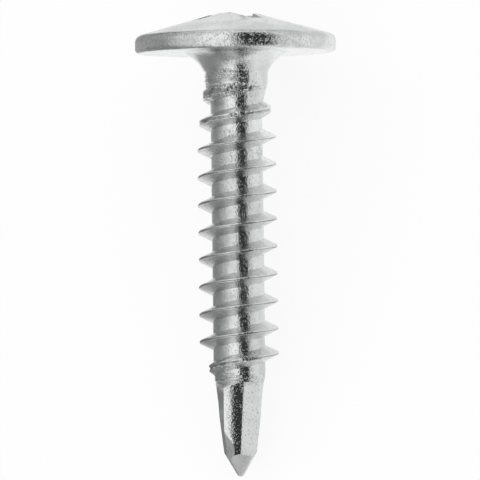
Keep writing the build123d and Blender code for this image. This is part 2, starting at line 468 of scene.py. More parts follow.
def ripple(along, seed, count=6, coarse=1.0):
    """A smooth wandering number between about -1 and 1 along a line: a sum of sines."""
    random = np.random.default_rng(seed)
    total = np.zeros_like(along)
    for octave in range(count):
        pace = coarse * 2.0**octave * random.uniform(0.8, 1.25)
        total += np.sin(along * pace + random.uniform(0, 2 * math.pi)) / (octave + 1) ** 0.5
    return total / 2.4


def ridge_side(t, radius, width, flank):
    """How far the full ridge's side lies from its middle at a radius.

    Below the crest's rounding it is a straight flank. The rounding is a quarter of an ellipse,
    as tall as two thirds of its width plus a little.
    """
    full = t.diameter / 2
    tall = 0.017 + width * 0.57
    share = np.clip((radius - (full - tall)) / tall, 0, 0.999)
    return width * np.sqrt(1 - share**2) + np.maximum(full - tall - radius, 0) * math.tan(flank)


def crest_line(t, theta, helix, shank_r):
    """The crest's radius along the helix, and how unfinished it is, from 0 to 1.

    It rises from the core in a straight line, stays full, and fades to the shank. It strays
    inwards a little, and more where it isn't full.
    """
    core, full = t.core_diameter / 2, t.diameter / 2
    rise = core + (helix - t.start) / (t.full_start - t.start) * (full - core)
    fade = shank_r + (t.fade_end - helix) / (t.fade_end - t.full_end) * (full - shank_r)
    crest = np.minimum(full, np.minimum(rise, fade))
    unfinished = np.clip(2.5 * (full - crest) / (full - core), 0, 1)
    stray = t.raggedness * (ripple(theta, 3, 4, 1.5) - 0.9) * (0.5 + 2.4 * unfinished)
    return np.clip(crest + stray, core - RIDGE_ROOT + 0.02, full), unfinished


def torn_section(t, theta, radius, unfinished):
    """The section's radius with its unfinished parts torn: each of its points strays by two
    ripples of its own above the core, and stays under the full crest."""
    core, full = t.core_diameter / 2, t.diameter / 2
    torn = np.stack([0.6 * ripple(theta, 30 + k, 4, 1.7) + 0.8 * ripple(theta, 70 + k, 3, 11.0)
                     for k in range(radius.shape[1])], 1)
    torn *= 0.045 * unfinished[:, None] * np.clip((radius - core) / 0.1, 0, 1)
    return np.minimum(radius + torn, full - 0.09 * np.clip(4 * unfinished, 0, 1)[:, None])


def paint_fold_shade_and_torn_patches(theta, unfinished, columns):
    """How dark each point is painted: painted shade at the fold's bottom, and darker patches where
    the ridge is unfinished and torn.
    """
    fold_shade_and_torn_patches = np.zeros((len(theta), columns))
    for k, (_, drop) in enumerate(CREST_FOLD, len(SIDE_SHARES)):
        torn_dark = np.clip(ripple(theta, 50 + k, 4, 2.2), 0, 1) * unfinished
        fold_shade_and_torn_patches[:, k] = np.maximum(drop * (1.05 + 0.3 * ripple(theta, 17, 4, 1.4)), torn_dark)
    return np.clip(fold_shade_and_torn_patches, 0, 1).ravel()


def thread_surface(t, shank_r):
    """The ridge: a section carried along the helix and closed at both ends.

    A point's radius is its share of the crest's height over the root, and its height is the
    helix's plus its place on the side. Where the ridge isn't full it is wider and sinks into
    the core. Between its sides lies the fold that rolling leaves in the crest.
    """
    core, full = t.core_diameter / 2, t.diameter / 2
    root = core - RIDGE_ROOT
    first = int(math.floor((t.start - 0.1 - t.phase) / t.pitch * TURN_SECTIONS))
    last = int(math.ceil((t.fade_end + 0.15 - t.phase) / t.pitch * TURN_SECTIONS))
    turn = np.arange(first, last + 1) / TURN_SECTIONS
    theta = turn * 2 * math.pi
    helix = t.phase + turn * t.pitch
    crest, unfinished = crest_line(t, theta, helix, shank_r)
    sway = 0.012 * ripple(theta, 5, 4, 1.1) + 0.035 * unfinished * ripple(theta, 8, 4, 1.7) - 0.03
    sink = np.where(helix < t.full_start, 0.8, 0.35) * (full - crest)
    plateau = t.torn_width / 2 * unfinished * (1 + 0.25 * ripple(theta, 21, 4, 1.3))
    radii = [root + (crest - root) * share for share in SIDE_SHARES]
    widths = [plateau * (1 - 0.7 * share**3) for share in SIDE_SHARES]
    tip_side = [-ridge_side(t, r + sink, t.tip_round, t.tip_flank) - w
                for r, w in zip(radii, widths)]
    head_side = [ridge_side(t, r + sink, t.head_round, t.head_flank) + w
                 for r, w in zip(radii, widths)]
    depth = np.minimum(t.seam * (1 + 1.5 * unfinished) * (0.8 + 0.4 * ripple(theta, 13, 4, 1.6)),
                       (crest - root) * 0.3)
    fold_radii = [crest - depth * drop for _, drop in CREST_FOLD]
    fold_offsets = [tip_side[-1] + (head_side[-1] - tip_side[-1]) * part for part, _ in CREST_FOLD]
    radius = np.stack(radii + fold_radii + radii[::-1], 1)
    offset = np.stack(tip_side + fold_offsets + head_side[::-1], 1)
    radius = torn_section(t, theta, radius, unfinished)
    nudge = t.start_nudge * np.exp(-(((helix - t.full_start - 0.12) / 0.4) ** 2))
    height = (helix + nudge)[:, None] + offset + sway[:, None] * (radius - root) / (full - root)
    turned = theta[:, None]
    grid = np.stack([radius * np.cos(turned), radius * np.sin(turned), height], -1)
    at, sides = tube_faces(*radius.shape)
    faces = sides + [at[0].tolist(), at[-1][::-1].tolist()]
    return grid.reshape(-1, 3), faces, paint_fold_shade_and_torn_patches(theta, unfinished, radius.shape[1])


# ---------------------------------------------------------------- drill point

# A distance beyond every wall, and how far the drill's top stays inside the core.
FAR = 9.0
TOP_CLEARANCE = 0.003

# Columns between two corners of half a section, and rows of each part of the height.
DRILL_COLUMNS = (14, 12, 10, 18, 22, 12)
TOP_ROWS, SHOULDER_ROWS, SIDE_ROWS, GASH_ROWS, FOOT_ROWS, TIP_ROWS = 26, 16, 14, 18, 14, 20


def cross2(a, b):
    """The cross product of plan vectors."""
    return a[..., 0] * b[..., 1] - a[..., 1] * b[..., 0]


def plan_points(d):
    """Plan corners as (across, towards the front): lip, land end, land circle's centre."""
    r = d.diameter / 2
    lip = np.array([-d.lip_lead, math.sqrt(r**2 - d.lip_lead**2)])
    end_x = d.land_width - d.lip_lead
    end = np.array([end_x, math.sqrt((r - d.land_relief) ** 2 - end_x**2)])
    chord = end - lip
    sag = math.sqrt(d.land_crown**2 - (np.hypot(*chord) / 2) ** 2)
    normal = np.array([-chord[1], chord[0]]) / np.hypot(*chord)
    return lip, end, (lip + end) / 2 - normal * sag


def heel_drop(d, height):
    """How far the heel flats lie nearer the axis towards the tip."""
    return d.heel_draft * np.clip(1 - height / d.drill_length, 0, 1)


def heel_corner(d, end, height):
    """The heel's corner on its flat, drawn in towards the tip by the flute's taper."""
    x = d.heel_reach + height * math.tan(d.flute_taper)
    drop = heel_drop(d, height) / math.cos(d.heel_angle)
    return np.stack([x, end[1] - (x - end[0]) * math.tan(d.heel_angle) - drop], -1)


def land_end(d, height):
    """Plan angle where a heel flat cuts the land's arc."""
    _, end, centre = plan_points(d)
    normal = np.array([math.sin(d.heel_angle), math.cos(d.heel_angle)])
    gap = end @ normal - heel_drop(d, height) - normal @ centre
    span = np.sqrt(d.land_crown**2 - gap**2)
    x = centre[0] + normal[0] * gap - normal[1] * span
    return np.arctan2(centre[1] + normal[1] * gap + normal[0] * span, x)


def flute_bottom(d, height):
    """The flute's deepest line: straight along the web, then out along the ramp."""
    share = np.clip((height - (d.flute_length - d.flute_ramp)) / d.flute_ramp, 0, 1)
    near = np.array([-d.web / 2, d.flute_offset])
    far = np.array([-d.flute_end_reach, d.flute_end_offset])
    return near + share[..., None] * (far - near)


def ray_to_segment(ray, a, b):
    """Distance from the axis along a plan ray to the line through a and b."""
    return cross2(a, b - a) / cross2(ray, b - a)


def gash_plane(d, height):
    """The gash's face in plan at a height: its outward normal and its distance from the axis.

    The face turns about its own middle towards the front up its height, and swings out in an
    S where the cutter left the steel.
    """
    lip, _, centre = plan_points(d)
    start = np.array([-math.sin(d.gash_angle), math.cos(d.gash_angle)])
    pivot = start * d.gash_reach - 0.1 * np.array([start[1], -start[0]])
    turned = d.gash_angle - d.gash_lean * np.clip(height / d.gash_middle / 2 - 0.5, -0.3, 0.5)
    normal = np.stack([-np.sin(turned), np.cos(turned)], -1)
    share = np.clip((height - d.gash_length + d.gash_exit) / d.gash_exit, 0, 1)
    near = normal @ pivot
    return normal, near + share**2 * (3 - 2 * share) * (normal @ lip - near) * 0.99


def gash_keys(d, lip, centre, height):
    """Plan angles where the gash's face crosses the land's arc and the flute's leading wall."""
    normal, reach = gash_plane(d, height)
    gap = reach - normal @ centre
    along = np.stack([normal[..., 1], -normal[..., 0]], -1)
    span = np.sqrt(np.maximum(d.land_crown**2 - gap**2, 0))
    on_land = centre + normal * gap[..., None] + along * span[..., None]
    bottom = np.array([-d.web / 2, d.flute_offset])
    share = (reach - normal @ bottom) / (normal @ (lip - bottom))
    on_wall = bottom + share[..., None] * (lip - bottom)
    return np.arctan2(on_land[..., 1], on_land[..., 0]), np.arctan2(on_wall[..., 1], on_wall[..., 0])


def drill_columns(d, height):
    """Plan angles of the columns at a height: evenly spread between the section's corners."""
    lip, end, centre = plan_points(d)
    cut = np.minimum(height, d.gash_length - d.gash_exit * 0.5)
    on_land, on_wall = gash_keys(d, lip, centre, cut)
    bottom = flute_bottom(d, height)
    heel = -heel_corner(d, end, height)
    full = 2 * math.pi
    land = land_end(d, height)
    keys = np.stack(np.broadcast_arrays(
        land, on_land, math.atan2(lip[1], lip[0]), on_wall,
        np.arctan2(bottom[..., 1], bottom[..., 0]) % full,
        np.arctan2(heel[..., 1], heel[..., 0]) % full,
        land + math.pi,
    ), -1)
    shares = [np.arange(n) / n for n in DRILL_COLUMNS]
    half = np.concatenate(
        [keys[..., i, None] + w * (keys[..., i + 1, None] - keys[..., i, None])
         for i, w in enumerate(shares)], -1)
    return np.concatenate([half, half + math.pi], -1)


def drill_reach(d, plan, height, core, gashed):
    """Distance from the axis to the drill's side: the nearest of the two lands' circles, the
    two heel flats, the 45 degree top cone and the walls of the two flutes."""
    lip, end, centre = plan_points(d)
    ray = np.stack([np.cos(plan), np.sin(plan)], -1)
    height = np.broadcast_to(height, plan.shape)
    heel_normal = np.array([math.sin(d.heel_angle), math.cos(d.heel_angle)])
    reach = np.full(plan.shape, FAR)
    for way in (1, -1):
        along = ray @ (centre * way)
        reach = np.minimum(reach, along + np.sqrt(along**2 - centre @ centre + d.land_crown**2))
        toward = ray @ (heel_normal * way)
        flat = (end @ heel_normal - heel_drop(d, height)) / np.where(toward > 1e-6, toward, 1e-6)
        reach = np.minimum(reach, flat)
    cone = d.waist / 2 + np.maximum(d.drill_length - height, 0)
    climb = (core - d.waist / 2) / (d.flute_length - d.drill_length)
    cone = np.where(height > d.drill_length, d.waist / 2 + (height - d.drill_length) * climb, cone)
    above = height > d.drill_length - 1e-9
    reach = np.where(above, FAR, reach)
    reach = np.minimum(reach, np.minimum(cone, np.where(above, core - TOP_CLEARANCE, FAR)))
    full = 2 * math.pi
    for way in (1, -1):
        a = np.broadcast_to(lip * way, ray.shape)
        b = flute_bottom(d, height) * way
        c = -heel_corner(d, end, height) * way
        start = np.arctan2(a[..., 1], a[..., 0])
        turn = (plan - start) % full
        mid = (np.arctan2(b[..., 1], b[..., 0]) - start) % full
        stop = (np.arctan2(c[..., 1], c[..., 0]) - start) % full
        first, second = ray_to_segment(ray, a, b), ray_to_segment(ray, b, c)
        wall = np.where(turn <= mid, first, second)
        inside = (turn <= stop + 1e-9) & (height < d.flute_length)
        reach = np.where(inside, np.minimum(reach, np.abs(wall)), reach)
    if gashed:
        normal, gap = gash_plane(d, height)
        for way in (1, -1):
            toward = (ray * normal * way).sum(-1)
            reach = np.minimum(reach, gap / np.where(toward > 1e-6, toward, 1e-6))
    return reach


def tip_height(d, x, f):
    """Height of the tip's facets over a plan point: the highest of four planes, with their
    edges rounded by taking the logarithm of their summed exponentials. The rounding lifts
    the facets most at the axis, and only there is that lift taken off again."""
    lip_rise = 1 / math.tan(d.point / 2)
    blade_rise = 1 / math.tan(d.blade / 2)
    lean = math.tan(d.lip_relief)
    planes = np.stack([
        lean * x + lip_rise * f,
        -lean * x - lip_rise * f,
        blade_rise * (x - d.chisel / 2),
        blade_rise * (-x - d.chisel / 2),
    ])
    highest = planes.max(axis=0)
    raised = d.edge_round * np.log(np.exp((planes - highest) / d.edge_round).sum(axis=0))
    least = d.edge_round * math.log(2 + 2 * math.exp(-blade_rise * d.chisel / 2 / d.edge_round))
    near_axis = np.exp(-(x**2 + f**2) / 0.25)
    return highest + raised - least * near_axis + 0.001


def foot_heights(d, core):
    """Height of the ring where the drill's sides meet the tip's facets, by iteration."""
    foot = np.full(2 * sum(DRILL_COLUMNS), 0.8)
    for _ in range(12):
        plan = drill_columns_at(d, foot)
        reach = drill_reach(d, plan, foot, core, True)
        foot = tip_height(d, reach * np.cos(plan), reach * np.sin(plan))
    return foot


def drill_rows(d, core):
    """Angle, radius and height of the drill's rows, from inside the core down to the tip.

    Down to the gash the rows are level. Below it they bend step by step to the foot, which
    the tip's facets cut, and then run over the facets to the axis.
    """
    rows = []
    ramp = d.flute_length - d.flute_ramp
    shoulder = d.drill_length - (d.diameter / 2 - d.waist / 2)
    levels = np.concatenate([
        [d.flute_length + 0.03],
        np.linspace(d.flute_length, d.drill_length + 0.001, TOP_ROWS),
        np.linspace(d.drill_length - 0.001, shoulder, SHOULDER_ROWS),
        np.linspace(shoulder, ramp, SIDE_ROWS)[1:],
        np.linspace(ramp, d.gash_length, SIDE_ROWS)[1:],
    ])
    for z in levels:
        plan = drill_columns(d, np.float64(z))
        rows.append((plan, drill_reach(d, plan, z, core, False), np.full(plan.shape, z)))
    foot = foot_heights(d, core)
    low = foot.max() + 0.03
    for z in np.linspace(d.gash_length - 0.001, low, GASH_ROWS)[:-1]:
        plan = drill_columns(d, np.float64(z))
        rows.append((plan, drill_reach(d, plan, z, core, True), np.full(plan.shape, z)))
    for share in np.linspace(0, 1, FOOT_ROWS):
        z = low + (foot - low) * share
        plan = drill_columns_at(d, z)
        rows.append((plan, drill_reach(d, plan, z, core, True), z))
    plan, reach = rows[-1][0], rows[-1][1]
    for share in np.linspace(1, 0, TIP_ROWS)[1:-1]:
        r = reach * share
        rows.append((plan, r, tip_height(d, r * np.cos(plan), r * np.sin(plan))))
    plan, radius, height = (np.stack(part) for part in zip(*rows))
    return plan, scuffed(radius, -plan, height, DRILL_SCUFFS), height


def drill_columns_at(d, heights):
    """The column angles where every column has its own height."""
    every = drill_columns(d, heights)
    return np.diagonal(every).copy() if every.ndim == 2 else every


# ---------------------------------------------------------------- materials

# Millimetres from the tip that a ramp along the screw spans.
PLATED_SPAN = 25.0


def nodes_of(material):
    """The node tree of a fresh material, emptied."""
    material.use_nodes = True
    tree = material.node_tree
    tree.nodes.clear()
    return tree


def socket(group, name, way, kind="NodeSocketFloat", value=None):
    """Adds a socket to a node group."""
    made = group.interface.new_socket(name=name, in_out=way, socket_type=kind)
    if value is not None:
        made.default_value = value


def ramp(tree, source, stops):
    """A colour ramp in greys: stops are (position, value)."""
    node = tree.nodes.new("ShaderNodeValToRGB")
    elements = node.color_ramp.elements
    while len(elements) < len(stops):
        elements.new(0.5)
    for element, (position, value) in zip(elements, stops):
        element.position = position
        element.color = (value, value, value, 1)
    tree.links.new(source, node.inputs[0])
    return node.outputs[0]


def math_node(tree, operation, *values):
    """A Math node over two or three inputs, each a socket or a number."""
    node = tree.nodes.new("ShaderNodeMath")
    node.operation = operation
    for slot_in, value in zip(node.inputs, values):
        if hasattr(value, "links"):
            tree.links.new(value, slot_in)
        else:
            slot_in.default_value = value
    return node.outputs[0]


def by_identifier(sockets, identifier):
    """The socket with an identifier, on a node where several share a name."""
    return next(made for made in sockets if made.identifier == identifier)


def noise(tree, place_in, scale, detail, roughness=0.5):
    """A Noise texture in features per millimetre."""
    node = tree.nodes.new("ShaderNodeTexNoise")
    node.inputs["Scale"].default_value = scale
    node.inputs["Detail"].default_value = detail
    node.inputs["Roughness"].default_value = roughness
    tree.links.new(place_in, node.inputs["Vector"])
    return node.outputs["Fac"]


def own_place_group():
    """Object coordinates turned into the screw's own millimetres: across, back, from the tip."""
    name = "own_place"
    if name in bpy.data.node_groups:
        return bpy.data.node_groups[name]
    group = bpy.data.node_groups.new(name, "ShaderNodeTree")
    socket(group, "Place", "OUTPUT", "NodeSocketVector")
    coordinates = group.nodes.new("ShaderNodeTexCoord")
    mapping = group.nodes.new("ShaderNodeMapping")
    mapping.vector_type = "TEXTURE"
    turn = Matrix((ACROSS, BACK, HEAD)).transposed().to_euler()
    mapping.inputs["Location"].default_value = tuple(TIP)
    mapping.inputs["Rotation"].default_value = tuple(turn)
    mapping.inputs["Scale"].default_value = (MM, MM, MM)
    out = group.nodes.new("NodeGroupOutput")
    group.links.new(coordinates.outputs["Object"], mapping.inputs["Vector"])
    group.links.new(mapping.outputs["Vector"], out.inputs["Place"])
    return group


def plating_group():
    """Zinc on steel: small pits, scuffs, scratches, smudges and dimples.

    Pits are where a fine noise runs low. Scuffs are the same noise at a higher threshold, where
    a coarse noise is high. Scratches are thin lines where another noise crosses its middle
    value, and smudges are where a broad one is high. Dimples are a noise's peaks, raised. The
    height is a fine grain, the fine noise, the coarse noise and the dimples, less the pits and
    scuffs. Scratches and smudges only darken the colour.
    """
    name = "zinc_wear"
    if name in bpy.data.node_groups:
        return bpy.data.node_groups[name]
    group = bpy.data.node_groups.new(name, "ShaderNodeTree")
    socket(group, "Place", "INPUT", "NodeSocketVector")
    socket(group, "Pitting", "INPUT", value=0.5)
    socket(group, "Scuffing", "INPUT", value=0.2)
    socket(group, "Tarnish", "INPUT", value=0.2)
    socket(group, "Dimples", "INPUT", value=0.3)
    socket(group, "Stain", "OUTPUT")
    socket(group, "Roughness", "OUTPUT")
    socket(group, "Height", "OUTPUT")
    inside = group.nodes.new("NodeGroupInput")
    outside = group.nodes.new("NodeGroupOutput")
    where = inside.outputs["Place"]
    fine = noise(group, where, 9.0, 2.0, 0.6)
    coarse = noise(group, where, 1.1, 3.0, 0.55)
    grain = noise(group, where, 15.0, 1.0)
    pits = ramp(group, fine, [(0.30, 1.0), (0.40, 0.0)])
    pits = math_node(group, "MULTIPLY", pits, inside.outputs["Pitting"])
    patches = ramp(group, coarse, [(0.46, 0.0), (0.66, 1.0)])
    scuffs = ramp(group, fine, [(0.34, 1.0), (0.50, 0.0)])
    scuffs = math_node(group, "MULTIPLY", scuffs, patches)
    scuffs = math_node(group, "MULTIPLY", scuffs, inside.outputs["Scuffing"])
    crossing = math_node(group, "SUBTRACT", noise(group, where, 2.4, 2.0, 0.6), 0.5)
    crossing = math_node(group, "ABSOLUTE", crossing, 0.0)
    scratches = ramp(group, crossing, [(0.010, 0.85), (0.026, 0.0)])
    scratches = math_node(group, "MULTIPLY", scratches, patches)
    scratches = math_node(group, "MULTIPLY", scratches, inside.outputs["Scuffing"])
    stain = math_node(group, "MAXIMUM", pits, scuffs)
    broad = noise(group, where, 0.42, 4.0, 0.6)
    smudges = ramp(group, broad, [(0.45, 0.0), (0.62, 1.0)])
    smudges = math_node(group, "MULTIPLY", smudges, inside.outputs["Tarnish"])
    shown = math_node(group, "MAXIMUM", stain, smudges)
    shown = math_node(group, "MAXIMUM", shown, scratches)
    group.links.new(shown, outside.inputs["Stain"])
    dull = math_node(group, "MULTIPLY_ADD", stain, 0.22, 0.12)
    group.links.new(dull, outside.inputs["Roughness"])
    height = math_node(group, "MULTIPLY", stain, -1.0)
    lump = math_node(group, "MULTIPLY", grain, 0.8)
    height = math_node(group, "ADD", height, lump)
    mid = math_node(group, "MULTIPLY", fine, 1.5)
    dimples = ramp(group, noise(group, where, 6.5, 1.0), [(0.60, 0.0), (0.67, 1.0)])
    dimples = math_node(group, "MULTIPLY", dimples, inside.outputs["Dimples"])
    height = math_node(group, "ADD", height, dimples)
    height = math_node(group, "ADD", height, mid)
    swell = math_node(group, "MULTIPLY", coarse, 1.6)
    height = math_node(group, "ADD", height, swell)
    group.links.new(height, outside.inputs["Height"])
    return group


def zinc_material(name, pitting, tarnish, scuffing, dimples, depth):
    """Zinc plating: bright and finely pitted, and duller and darker in its pits and scuffs. On the
    thread, painted shade in the crest's fold and darker torn patches, read from its points, also
    take the stain colour.

    scuffing and dimples list (height from the tip in mm, amount) along the screw, and depth
    is the bump's in mm.
    """
    if name in bpy.data.materials:
        return bpy.data.materials[name]
    finish = bpy.context.scene.screw_finish
    material = bpy.data.materials.new(name)
    tree = nodes_of(material)
    new, link = tree.nodes.new, tree.links.new
    out = new("ShaderNodeOutputMaterial")
    shader = new("ShaderNodeBsdfPrincipled")
    place_node, wear = new("ShaderNodeGroup"), new("ShaderNodeGroup")
    place_node.node_tree, wear.node_tree = own_place_group(), plating_group()
    split, colour, bump = (
        new("ShaderNodeSeparateXYZ"), new("ShaderNodeMix"), new("ShaderNodeBump"),
    )
    link(place_node.outputs["Place"], split.inputs[0])
    along = math_node(tree, "DIVIDE", split.outputs["Z"], PLATED_SPAN)
    amount = ramp(tree, along, [(z / PLATED_SPAN, v) for z, v in scuffing])
    link(place_node.outputs["Place"], wear.inputs["Place"])
    link(amount, wear.inputs["Scuffing"])
    link(ramp(tree, along, [(z / PLATED_SPAN, v) for z, v in dimples]), wear.inputs["Dimples"])
    wear.inputs["Pitting"].default_value = pitting
    wear.inputs["Tarnish"].default_value = tarnish
    colour.data_type = "RGBA"
    by_identifier(colour.inputs, "A_Color").default_value = (*finish.zinc, 1)
    by_identifier(colour.inputs, "B_Color").default_value = (*finish.stain, 1)
    # Painted shade in the thread crest's fold, and darker torn patches, kept on the ridge's points
    fold_shade_and_torn_patches = new("ShaderNodeAttribute")
    fold_shade_and_torn_patches.attribute_name = "fold_shade_and_torn_patches"
    dark = math_node(tree, "MAXIMUM", wear.outputs["Stain"], fold_shade_and_torn_patches.outputs["Fac"])
    link(dark, by_identifier(colour.inputs, "Factor_Float"))
    link(by_identifier(colour.outputs, "Result_Color"), shader.inputs["Base Color"])
    link(wear.outputs["Roughness"], shader.inputs["Roughness"])
    bump.inputs["Strength"].default_value = 1.0
    bump.inputs["Distance"].default_value = depth * MM
    link(wear.outputs["Height"], bump.inputs["Height"])
    link(bump.outputs["Normal"], shader.inputs["Normal"])
    shader.inputs["Metallic"].default_value = 1.0
    link(shader.outputs["BSDF"], out.inputs["Surface"])
    return material


def head_plating():
    """The head's plating: a few fine pits, and an uneven rim."""
    scuffing = [(0.0, 0.3), (20.9, 0.9), (21.4, 0.2), (21.9, 0.2), (22.0, 0.9), (22.6, 0.9),
                (22.8, 0.2)]
    dimples = [(20.9, 0.6), (21.8, 0.1), (22.0, 2.0), (22.6, 2.0), (22.8, 0.1)]
    return zinc_material("head_plating", 0.5, 0.45, scuffing, dimples, 0.008)


def thread_plating():
    """The shank's and thread's plating: scuffed where the thread starts and fades."""
    stops = [(3.0, 0.9), (6.4, 0.9), (7.4, 0.35), (17.2, 0.35), (18.2, 1.0), (20.6, 1.0)]
    return zinc_material("thread_plating", 0.6, 0.2, stops, [(0.0, 0.6), (25.0, 0.6)], 0.008)


def drill_plating():
    """The drill point's plating: pitted by the forging."""
    stops = [(0.0, 0.9), (1.0, 0.9), (1.4, 0.4), (4.2, 0.4), (4.8, 1.0)]
    return zinc_material("drill_plating", 0.6, 0.3, stops, [(0.0, 0.5), (25.0, 0.5)], 0.007)


# ---------------------------------------------------------------- studio

# The floor, in metres. What the metal mirrors of it is darker on the left, and its levels are
# listed along +Y as (place, level). The right half starts at the middle of FLOOR_SPLIT.
FLOOR_HALF = 0.6
FLOOR_SPLIT = (-0.0057, -0.0044)
FLOOR_SPLIT_AXIS = (1.0, 0.3, 0.0)
FLOOR_LEFT = ((-0.015, 0.5), (-0.013, 0.4), (-0.0118, 0.24), (0.012, 0.43))
FLOOR_RIGHT = 1.0
FLOOR_ALONG = (
    (-0.0138, 0.56), (-0.0128, 0.86), (0.006, 0.86), (0.0075, 1.0), (0.0115, 1.0),
    (0.0135, 0.86), (0.019, 0.86), (0.028, 0.62),
)
FLOOR_SHADOW = 0.13

# A ramp along the floor spans a tenth of a metre, with its middle at the origin.
RAMP_PER_METRE = 10.0

# The tent, in metres: its glow as (degrees from the front to the right, level), its dark gap in
# degrees, and where that gap is dark along the axis. Its left side brightens towards the head,
# as (place along the axis, factor), over LEFT_FADE degrees from LEFT_SIDE on.
TENT_RADIUS = 0.09
TENT_MIDDLE = 0.011
TENT_HALF = 0.45
TENT_ALONG = (-0.30, -0.20, 0.20, 0.30)
TENT_AROUND = (
    (-112, 0.25), (-96, 0.25), (-84, 0.34), (-78, 0.34), (-74, 0.42), (-66, 0.42), (-62, 0.56),
    (-50, 0.6), (-42, 0.86), (-34, 1.02), (-7, 0.98), (15, 0.98), (17, 0.79), (70, 0.78),
)
TENT_GAP = (0, 46)
GAP_GLOW = 0.035
LEFT_SIDE = -50
LEFT_FADE = 12
LEFT_ALONG = ((-0.004, 0.93), (0.03, 1.6))

# The camera: angles in degrees, distance in metres, and where the tip lies in the picture, in
# pixels from its left and its top.
VIEW_BELOW = 1.8
VIEW_LEAN = 0.7
VIEW_DISTANCE = 0.5
PIXEL = 0.0516 * MM
PICTURE = 480
TIP_PIXEL = (240.8, 476.6)
SENSOR = 36.0


def make_floor():
    """A wide floor: white to the camera with a faint shadow, and in the metal's reflections
    a darker left half and a light right half."""
    size = FLOOR_HALF
    mesh = bpy.data.meshes.new("floor")
    corners = [(-size, -size, 0), (size, -size, 0), (size, size, 0), (-size, size, 0)]
    mesh.from_pydata(corners, [], [(0, 1, 2, 3)])
    floor = bpy.data.objects.new("floor", mesh)
    bpy.context.scene.collection.objects.link(floor)
    material = bpy.data.materials.new("white_floor")
    tree = nodes_of(material)
    new, link = tree.nodes.new, tree.links.new
    out = new("ShaderNodeOutputMaterial")
    mix, white = new("ShaderNodeMixShader"), new("ShaderNodeMixShader")
    diffuse, glow, mirrored = (
        new("ShaderNodeBsdfDiffuse"), new("ShaderNodeEmission"), new("ShaderNodeEmission"),
    )
    path, coordinates = new("ShaderNodeLightPath"), new("ShaderNodeTexCoord")
    split, sides = new("ShaderNodeVectorMath"), new("ShaderNodeMapRange")
    diffuse.inputs["Color"].default_value = (0.95, 0.95, 0.95, 1)
    split.operation = "DOT_PRODUCT"
    split.inputs[1].default_value = FLOOR_SPLIT_AXIS
    link(coordinates.outputs["Object"], split.inputs[0])
    link(split.outputs["Value"], sides.inputs["Value"])
    sides.inputs["From Min"].default_value = FLOOR_SPLIT[0]
    sides.inputs["From Max"].default_value = FLOOR_SPLIT[1]
    sides.inputs["To Max"].default_value = FLOOR_RIGHT
    axes = new("ShaderNodeSeparateXYZ")
    link(coordinates.outputs["Object"], axes.inputs[0])
    ends = math_node(tree, "MULTIPLY_ADD", axes.outputs["Y"], RAMP_PER_METRE, 0.5)
    left, beyond = (
        ramp(tree, ends, [(0.5 + RAMP_PER_METRE * y, level) for y, level in levels])
        for levels in (FLOOR_LEFT, FLOOR_ALONG)
    )
    link(left, sides.inputs["To Min"])
    dimmed = math_node(tree, "MULTIPLY", sides.outputs[0], beyond)
    link(dimmed, mirrored.inputs["Strength"])
    white.inputs[0].default_value = FLOOR_SHADOW
    link(glow.outputs[0], white.inputs[1])
    link(diffuse.outputs[0], white.inputs[2])
    link(path.outputs["Is Glossy Ray"], mix.inputs[0])
    link(white.outputs[0], mix.inputs[1])
    link(mirrored.outputs[0], mix.inputs[2])
    link(mix.outputs[0], out.inputs["Surface"])
    mesh.materials.append(material)


def make_tent():
    """Half a tube of light round the screw, seen only by its metal.

    Its brightness goes by the angle round the axis from the front: grey on the far left, a
    bright band left of the middle, a dark gap right of the middle and light grey on the right.
    The grey of the left side is multiplied by a factor that rises towards the head.
    """
    around = np.linspace(TENT_AROUND[0][0], TENT_AROUND[-1][0], 365)
    along = np.linspace(-TENT_HALF, TENT_HALF, 91)
    left = np.clip((LEFT_SIDE - around[:, None]) / LEFT_FADE, 0, 1)
    open_glow = np.interp(around, *zip(*TENT_AROUND))[:, None]
    open_glow = open_glow * (1 + left * (np.interp(along, *zip(*LEFT_ALONG)) - 1))
    dark = (
        np.clip((around[:, None] - TENT_GAP[0]) / 2 + 0.5, 0, 1)
        * np.clip((TENT_GAP[1] - around[:, None]) / 3 + 0.5, 0, 1)
        * np.interp(along, TENT_ALONG, (0.0, 1.0, 1.0, 0.0))
    )
    value = open_glow + (GAP_GLOW - open_glow) * dark
    turn = np.radians(around)
    points = (
        TIP + HEAD * TENT_MIDDLE
        + TENT_RADIUS * (np.cos(turn)[:, None, None] * -BACK + np.sin(turn)[:, None, None] * ACROSS)
        + along[None, :, None] * HEAD
    )
    at = np.arange(points.shape[0] * points.shape[1]).reshape(points.shape[:2])
    faces = np.stack([at[:-1, :-1], at[1:, :-1], at[1:, 1:], at[:-1, 1:]], -1).reshape(-1, 4)
    mesh = bpy.data.meshes.new("light_tent")
    mesh.from_pydata(points.reshape(-1, 3).tolist(), [], faces.tolist())
    layer = mesh.attributes.new("glow", "FLOAT", "POINT")
    layer.data.foreach_set("value", value.ravel().astype(np.float32))
    tent = bpy.data.objects.new("light_tent", mesh)
    bpy.context.scene.collection.objects.link(tent)
    tent.visible_camera = tent.visible_diffuse = tent.visible_shadow = False
    material = bpy.data.materials.new("tent_cloth")
    tree = nodes_of(material)
    out, light = tree.nodes.new("ShaderNodeOutputMaterial"), tree.nodes.new("ShaderNodeEmission")
    read = tree.nodes.new("ShaderNodeAttribute")
    read.attribute_name = "glow"
    tree.links.new(read.outputs["Fac"], light.inputs["Strength"])
    tree.links.new(light.outputs[0], out.inputs["Surface"])
    mesh.materials.append(material)


def make_world():
    """A white world."""
    world = bpy.data.worlds.new("studio")
    world.use_nodes = True
    world.node_tree.nodes["Background"].inputs["Color"].default_value = (1, 1, 1, 1)
    bpy.context.scene.world = world


